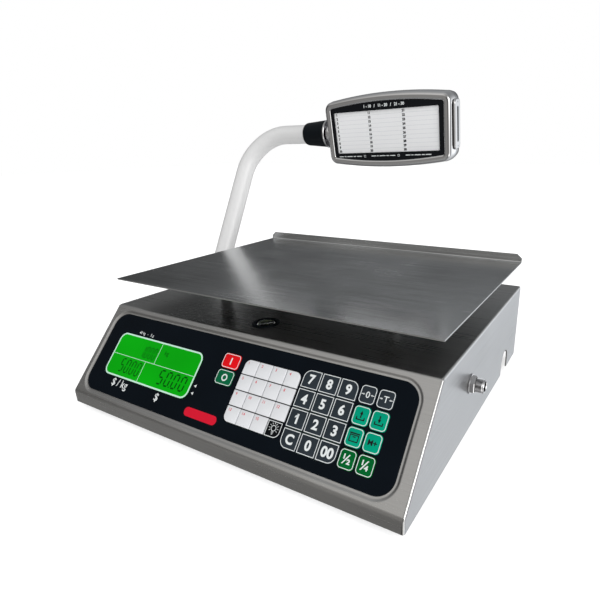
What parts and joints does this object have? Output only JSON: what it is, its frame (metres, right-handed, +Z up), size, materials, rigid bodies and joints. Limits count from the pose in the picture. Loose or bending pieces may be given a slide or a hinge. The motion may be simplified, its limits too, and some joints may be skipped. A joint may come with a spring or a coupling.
{
  "type": "retail price scale",
  "caption": "Counter price scale: stainless housing with a sloping keypad and display, a loose weighing tray, and a swinging tower that carries a second display head.",
  "frame": {"origin": "centre of the bounding box at the level of the foot bottoms", "axes": "+X to the operator's right, +Y to the back, +Z up"},
  "size_m": [0.4498, 0.3875, 0.3231],
  "materials": {
    "stainless": "satin brushed, grain along the width",
    "tray_stainless": "bright brushed",
    "zinc_plate": "zinc plated sheet",
    "aluminium": "machined",
    "cast_frame": "dark painted casting",
    "chrome": "polished",
    "plated_plastic": "bright chrome plating on plastic",
    "white_paint": "satin white powder coat on steel tube",
    "rubber": "matte",
    "black_plastic": "fine grain",
    "face_black": "printed polyester face",
    "clear_window": "clear, tinted",
    "level_glass": "clear vial with liquid",
    "display_green": "green backlit liquid crystal",
    "circuit_board": "solder resist",
    "battery_case": "moulded case",
    "paper_card": "ruled paper card",
    "key_white": "silicone, satin",
    "key_red": "satin",
    "key_green": "satin",
    "key_grey": "satin",
    "key_teal": "satin",
    "key_dark_green": "satin",
    "key_black": "satin"
  },
  "bodies": {
    "housing": {"housing_cover": "stainless", "base_plate": "zinc_plate", "load_cell_foot_block": "aluminium", "load_cell": "aluminium", "main_board": "circuit_board", "battery": "battery_case", "face_panel": "face_black", "panel_backplate": "cast_frame", "keypad_board": "circuit_board", "display_window": "clear_window", "display_module": "display_green", "level_cup": "black_plastic", "level_vial": "level_glass", "charger_socket": "chrome", "tower_flange": "chrome", "tower_bearing": "cast_frame"},
    "platform": {"spider": "cast_frame", "tray_pad_front_left": "rubber", "tray_pad_front_right": "rubber", "tray_pad_rear_left": "rubber", "tray_pad_rear_right": "rubber"},
    "tray": {"tray": "tray_stainless"},
    "tower": {"tower_tube": "white_paint", "tower_collar": "black_plastic"},
    "head": {"head_swivel": "plated_plastic", "head_front_shell": "plated_plastic", "head_rear_shell": "plated_plastic", "head_fascia": "face_black", "memory_card": "paper_card", "customer_window": "clear_window", "customer_display": "display_green", "head_end_cap": "plated_plastic"},
    "memory_keypad": {"memory_keypad": "key_white"},
    "foot_front_left": {"foot_front_left": "rubber"},
    "foot_front_right": {"foot_front_right": "rubber"},
    "foot_rear_left": {"foot_rear_left": "rubber"},
    "foot_rear_right": {"foot_rear_right": "rubber"},
    "key_on": {"key_on": "key_red"},
    "key_off": {"key_off": "key_green"},
    "key_7": {"key_7": "key_grey"},
    "key_8": {"key_8": "key_grey"},
    "key_9": {"key_9": "key_grey"},
    "key_4": {"key_4": "key_grey"},
    "key_5": {"key_5": "key_grey"},
    "key_6": {"key_6": "key_grey"},
    "key_1": {"key_1": "key_grey"},
    "key_2": {"key_2": "key_grey"},
    "key_3": {"key_3": "key_grey"},
    "key_clear": {"key_clear": "key_grey"},
    "key_0": {"key_0": "key_grey"},
    "key_00": {"key_00": "key_grey"},
    "key_zero": {"key_zero": "key_grey"},
    "key_tare": {"key_tare": "key_grey"},
    "key_recall": {"key_recall": "key_teal"},
    "key_store": {"key_store": "key_teal"},
    "key_pack": {"key_pack": "key_teal"},
    "key_add": {"key_add": "key_teal"},
    "key_half": {"key_half": "key_dark_green"},
    "key_quarter": {"key_quarter": "key_dark_green"},
    "key_light": {"key_light": "key_black"}
  },
  "joints": [
    {"name": "key_on_press", "type": "slide", "parent": "housing", "child": "key_on", "axis": [0, 0.7433, -0.669], "range_m": [0, 0.0005], "stiffness_N_per_m": 3000, "springref_m": -0.0001},
    {"name": "key_off_press", "type": "slide", "parent": "housing", "child": "key_off", "axis": [0, 0.7433, -0.669], "range_m": [0, 0.0005], "stiffness_N_per_m": 3000, "springref_m": -0.0001},
    {"name": "key_7_press", "type": "slide", "parent": "housing", "child": "key_7", "axis": [0, 0.7433, -0.669], "range_m": [0, 0.0005], "stiffness_N_per_m": 3000, "springref_m": -0.0001},
    {"name": "key_8_press", "type": "slide", "parent": "housing", "child": "key_8", "axis": [0, 0.7433, -0.669], "range_m": [0, 0.0005], "stiffness_N_per_m": 3000, "springref_m": -0.0001},
    {"name": "key_9_press", "type": "slide", "parent": "housing", "child": "key_9", "axis": [0, 0.7433, -0.669], "range_m": [0, 0.0005], "stiffness_N_per_m": 3000, "springref_m": -0.0001},
    {"name": "key_4_press", "type": "slide", "parent": "housing", "child": "key_4", "axis": [0, 0.7433, -0.669], "range_m": [0, 0.0005], "stiffness_N_per_m": 3000, "springref_m": -0.0001},
    {"name": "key_5_press", "type": "slide", "parent": "housing", "child": "key_5", "axis": [0, 0.7433, -0.669], "range_m": [0, 0.0005], "stiffness_N_per_m": 3000, "springref_m": -0.0001},
    {"name": "key_6_press", "type": "slide", "parent": "housing", "child": "key_6", "axis": [0, 0.7433, -0.669], "range_m": [0, 0.0005], "stiffness_N_per_m": 3000, "springref_m": -0.0001},
    {"name": "key_1_press", "type": "slide", "parent": "housing", "child": "key_1", "axis": [0, 0.7433, -0.669], "range_m": [0, 0.0005], "stiffness_N_per_m": 3000, "springref_m": -0.0001},
    {"name": "key_2_press", "type": "slide", "parent": "housing", "child": "key_2", "axis": [0, 0.7433, -0.669], "range_m": [0, 0.0005], "stiffness_N_per_m": 3000, "springref_m": -0.0001},
    {"name": "key_3_press", "type": "slide", "parent": "housing", "child": "key_3", "axis": [0, 0.7433, -0.669], "range_m": [0, 0.0005], "stiffness_N_per_m": 3000, "springref_m": -0.0001},
    {"name": "key_clear_press", "type": "slide", "parent": "housing", "child": "key_clear", "axis": [0, 0.7433, -0.669], "range_m": [0, 0.0005], "stiffness_N_per_m": 3000, "springref_m": -0.0001},
    {"name": "key_0_press", "type": "slide", "parent": "housing", "child": "key_0", "axis": [0, 0.7433, -0.669], "range_m": [0, 0.0005], "stiffness_N_per_m": 3000, "springref_m": -0.0001},
    {"name": "key_00_press", "type": "slide", "parent": "housing", "child": "key_00", "axis": [0, 0.7433, -0.669], "range_m": [0, 0.0005], "stiffness_N_per_m": 3000, "springref_m": -0.0001},
    {"name": "key_zero_press", "type": "slide", "parent": "housing", "child": "key_zero", "axis": [0, 0.7433, -0.669], "range_m": [0, 0.0005], "stiffness_N_per_m": 3000, "springref_m": -0.0001},
    {"name": "key_tare_press", "type": "slide", "parent": "housing", "child": "key_tare", "axis": [0, 0.7433, -0.669], "range_m": [0, 0.0005], "stiffness_N_per_m": 3000, "springref_m": -0.0001},
    {"name": "key_recall_press", "type": "slide", "parent": "housing", "child": "key_recall", "axis": [0, 0.7433, -0.669], "range_m": [0, 0.0005], "stiffness_N_per_m": 3000, "springref_m": -0.0001},
    {"name": "key_store_press", "type": "slide", "parent": "housing", "child": "key_store", "axis": [0, 0.7433, -0.669], "range_m": [0, 0.0005], "stiffness_N_per_m": 3000, "springref_m": -0.0001},
    {"name": "key_pack_press", "type": "slide", "parent": "housing", "child": "key_pack", "axis": [0, 0.7433, -0.669], "range_m": [0, 0.0005], "stiffness_N_per_m": 3000, "springref_m": -0.0001},
    {"name": "key_add_press", "type": "slide", "parent": "housing", "child": "key_add", "axis": [0, 0.7433, -0.669], "range_m": [0, 0.0005], "stiffness_N_per_m": 3000, "springref_m": -0.0001},
    {"name": "key_half_press", "type": "slide", "parent": "housing", "child": "key_half", "axis": [0, 0.7433, -0.669], "range_m": [0, 0.0005], "stiffness_N_per_m": 3000, "springref_m": -0.0001},
    {"name": "key_quarter_press", "type": "slide", "parent": "housing", "child": "key_quarter", "axis": [0, 0.7433, -0.669], "range_m": [0, 0.0005], "stiffness_N_per_m": 3000, "springref_m": -0.0001},
    {"name": "key_light_press", "type": "slide", "parent": "housing", "child": "key_light", "axis": [0, 0.7433, -0.669], "range_m": [0, 0.0005], "stiffness_N_per_m": 3000, "springref_m": -0.0001},
    {"name": "memory_keypad_press", "type": "slide", "parent": "housing", "child": "memory_keypad", "axis": [0, 0.7433, -0.669], "range_m": [0, 0.0005], "stiffness_N_per_m": 4000, "springref_m": -0.0001},
    {"name": "foot_front_left_screw", "type": "slide", "parent": "housing", "child": "foot_front_left", "axis": [0, 0, -1], "range_m": [0, 0.006]},
    {"name": "foot_front_right_screw", "type": "slide", "parent": "housing", "child": "foot_front_right", "axis": [0, 0, -1], "range_m": [0, 0.006]},
    {"name": "foot_rear_left_screw", "type": "slide", "parent": "housing", "child": "foot_rear_left", "axis": [0, 0, -1], "range_m": [0, 0.006]},
    {"name": "foot_rear_right_screw", "type": "slide", "parent": "housing", "child": "foot_rear_right", "axis": [0, 0, -1], "range_m": [0, 0.006]},
    {"name": "platform_flex", "type": "slide", "parent": "housing", "child": "platform", "axis": [0, 0, 1], "range_m": [-0.0005, 0], "stiffness_N_per_m": 200000, "springref_m": 0.0002},
    {"name": "tray_lift", "type": "slide", "parent": "platform", "child": "tray", "axis": [0, 0, 1], "range_m": [0, 0.05]},
    {"name": "tower_swing", "type": "hinge", "parent": "housing", "child": "tower", "pos_m": [-0.1681, 0.04848, 0.053], "axis": [1, 0, 0], "range_deg": [-15, 28.8]},
    {"name": "head_tilt", "type": "hinge", "parent": "tower", "child": "head", "pos_m": [-0.0746, 0.17046, 0.27488], "axis": [1, 0, 0], "range_deg": [-35, 20]}
  ]
}
